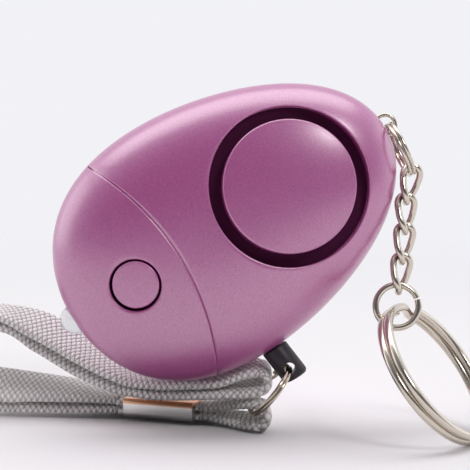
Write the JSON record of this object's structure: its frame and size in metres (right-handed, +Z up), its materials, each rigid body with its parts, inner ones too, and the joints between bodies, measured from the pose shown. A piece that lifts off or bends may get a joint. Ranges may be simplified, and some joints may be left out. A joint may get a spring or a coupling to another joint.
{
  "type": "personal safety alarm",
  "caption": "Egg-shaped personal alarm with a round speaker, a press button and an end lamp, a pull pin on a braided wrist strap, and a chain with a key ring",
  "frame": {"origin": "on the floor under the middle of the case, chain, pin and key ring", "axes": "+X to the narrow end and the chain, +Y away from the speaker face, +Z up"},
  "size_m": [0.1085, 0.0377, 0.0593],
  "materials": {
    "pearl_purple": "pearl purple moulded plastic with a fine metallic grain",
    "dark_recess": "near-black purple",
    "brass": "thin brass sheet",
    "ivory_ceramic": "ivory",
    "black_plastic": "black moulding",
    "board_green": "green lacquered laminate",
    "clear_lens": "clear lamp lens",
    "nickel": "bright nickel plate",
    "copper_wire": "enamelled copper",
    "red_wire": "red insulation",
    "black_wire": "black insulation",
    "screw_steel": "plain steel",
    "charcoal": "charcoal moulding",
    "ring_steel": "bright drawn wire",
    "grey_braid": "light grey flat braid with a soft sheen",
    "clip_metal": "polished folded metal"
  },
  "bodies": {
    "case": {"front_shell": "pearl_purple", "rear_shell": "pearl_purple", "speaker_cover": "pearl_purple", "sound_ring": "dark_recess", "piezo_plate": "brass", "piezo_ceramic": "ivory_ceramic", "resonator_cup": "black_plastic", "circuit_board": "board_green", "tact_switch": "black_plastic", "led_lamp": "clear_lens", "led_lead_1": "nickel", "led_lead_2": "nickel", "cell_1": "nickel", "cell_2": "nickel", "cell_3": "nickel", "battery_tray": "black_plastic", "contact_low": "brass", "contact_high": "brass", "pin_socket": "black_plastic", "socket_leaf_1": "brass", "socket_leaf_2": "brass", "boost_coil": "copper_wire", "driver_chip": "black_plastic", "capacitor": "black_plastic", "transistor": "black_plastic", "speaker_wire_1": "red_wire", "speaker_wire_2": "black_wire", "case_screw_1": "screw_steel", "case_screw_2": "screw_steel", "tip_eye": "nickel"},
    "button": {"button_cap": "pearl_purple"},
    "plunger": {"tact_plunger": "ivory_ceramic"},
    "pin": {"pull_pin": "charcoal"},
    "pin_ring": {"pin_ring": "ring_steel"},
    "strap": {"wrist_strap": "grey_braid", "strap_eye": "grey_braid", "strap_crimp": "clip_metal"},
    "connector": {"connector_ring": "nickel"},
    "link_1": {"link_1": "nickel"},
    "link_2": {"link_2": "nickel"},
    "link_3": {"link_3": "nickel"},
    "link_4": {"link_4": "nickel"},
    "jump_ring": {"jump_ring": "nickel"},
    "key_ring": {"key_ring": "nickel"}
  },
  "joints": [
    {"name": "button_press", "type": "slide", "parent": "case", "child": "button", "axis": [0, 0.9976, -0.0698], "range_m": [0, 0.0005], "stiffness_N_per_m": 400},
    {"name": "plunger_press", "type": "slide", "parent": "case", "child": "plunger", "axis": [0, 0.9976, -0.0698], "range_m": [0, 0.0005]},
    {"name": "pin_pull", "type": "slide", "parent": "case", "child": "pin", "axis": [0.5299, -0.0592, -0.846], "range_m": [0, 0.014]},
    {"name": "pin_ring_swing", "type": "hinge", "parent": "pin", "child": "pin_ring", "pos_m": [0.00252, 0.00253, 0.01106], "axis": [0, -0.9976, 0.0698], "range_deg": [0, 15]},
    {"name": "strap_swing", "type": "hinge", "parent": "pin_ring", "child": "strap", "pos_m": [-0.00302, 0.00253, 0.0025], "axis": [0, -1, 0], "range_deg": [0, 20]},
    {"name": "connector_swing", "type": "hinge", "parent": "case", "child": "connector", "pos_m": [0.01959, 0.00532, 0.05228], "axis": [0, -0.9848, 0.1736], "range_deg": [0, 20]},
    {"name": "link_1_swing", "type": "hinge", "parent": "connector", "child": "link_1", "pos_m": [0.0235, 0.00388, 0.04408], "axis": [0, -0.9848, 0.1736], "range_deg": [0, 25]},
    {"name": "link_2_swing", "type": "hinge", "parent": "link_1", "child": "link_2", "pos_m": [0.02251, 0.00303, 0.0393], "axis": [0, -0.9848, 0.1736], "range_deg": [0, 20]},
    {"name": "link_3_swing", "type": "hinge", "parent": "link_2", "child": "link_3", "pos_m": [0.02225, 0.00216, 0.03433], "axis": [0, -0.9848, 0.1736], "range_deg": [0, 20]},
    {"name": "link_4_swing", "type": "hinge", "parent": "link_3", "child": "link_4", "pos_m": [0.02172, 0.00129, 0.02939], "axis": [0, -0.9848, 0.1736], "range_deg": [0, 20]},
    {"name": "jump_ring_swing", "type": "hinge", "parent": "link_4", "child": "jump_ring", "pos_m": [0.0211, 0.00042, 0.02445], "axis": [0, -0.9848, 0.1736], "range_deg": [0, 30]},
    {"name": "key_ring_swing", "type": "hinge", "parent": "jump_ring", "child": "key_ring", "pos_m": [0.01964, -0.00059, 0.01877], "axis": [0.9397, -0.0594, -0.3368], "range_deg": [-10, 25]}
  ],
  "couplings": [
    {"joint": "plunger_press", "follows": "button_press", "ratio": 1}
  ]
}
